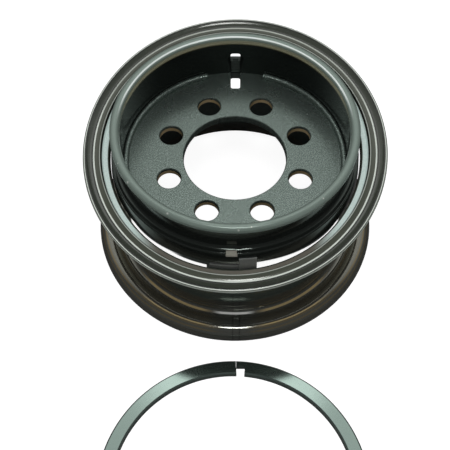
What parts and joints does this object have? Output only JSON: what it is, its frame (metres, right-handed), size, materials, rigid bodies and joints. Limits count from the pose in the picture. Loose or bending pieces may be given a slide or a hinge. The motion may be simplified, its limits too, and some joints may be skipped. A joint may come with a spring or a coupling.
{
  "type": "forklift wheel rim",
  "caption": "Black painted multi-piece steel wheel rim: rim base with welded disc, loose side ring resting tilted on it and split lock ring lying in front.",
  "frame": {"origin": "centre of the hub bore on the hub side of the wheel disc", "axes": "+Z along the wheel axis towards the open gutter end, +Y towards the valve slot, the lock ring lies at -Y"},
  "size_m": [0.3841, 0.7367, 0.222],
  "materials": {
    "rim_paint": "black satin gloss paint",
    "disc_paint": "grey green satin paint with a fine orange peel",
    "ring_paint": "dark olive grey satin gloss paint"
  },
  "bodies": {
    "root": {"rim_base": "rim_paint", "wheel_disc": "disc_paint", "disc_weld": "disc_paint", "driver_lug": "rim_paint", "side_ring": "ring_paint", "lock_ring": "ring_paint"}
  },
  "joints": []
}
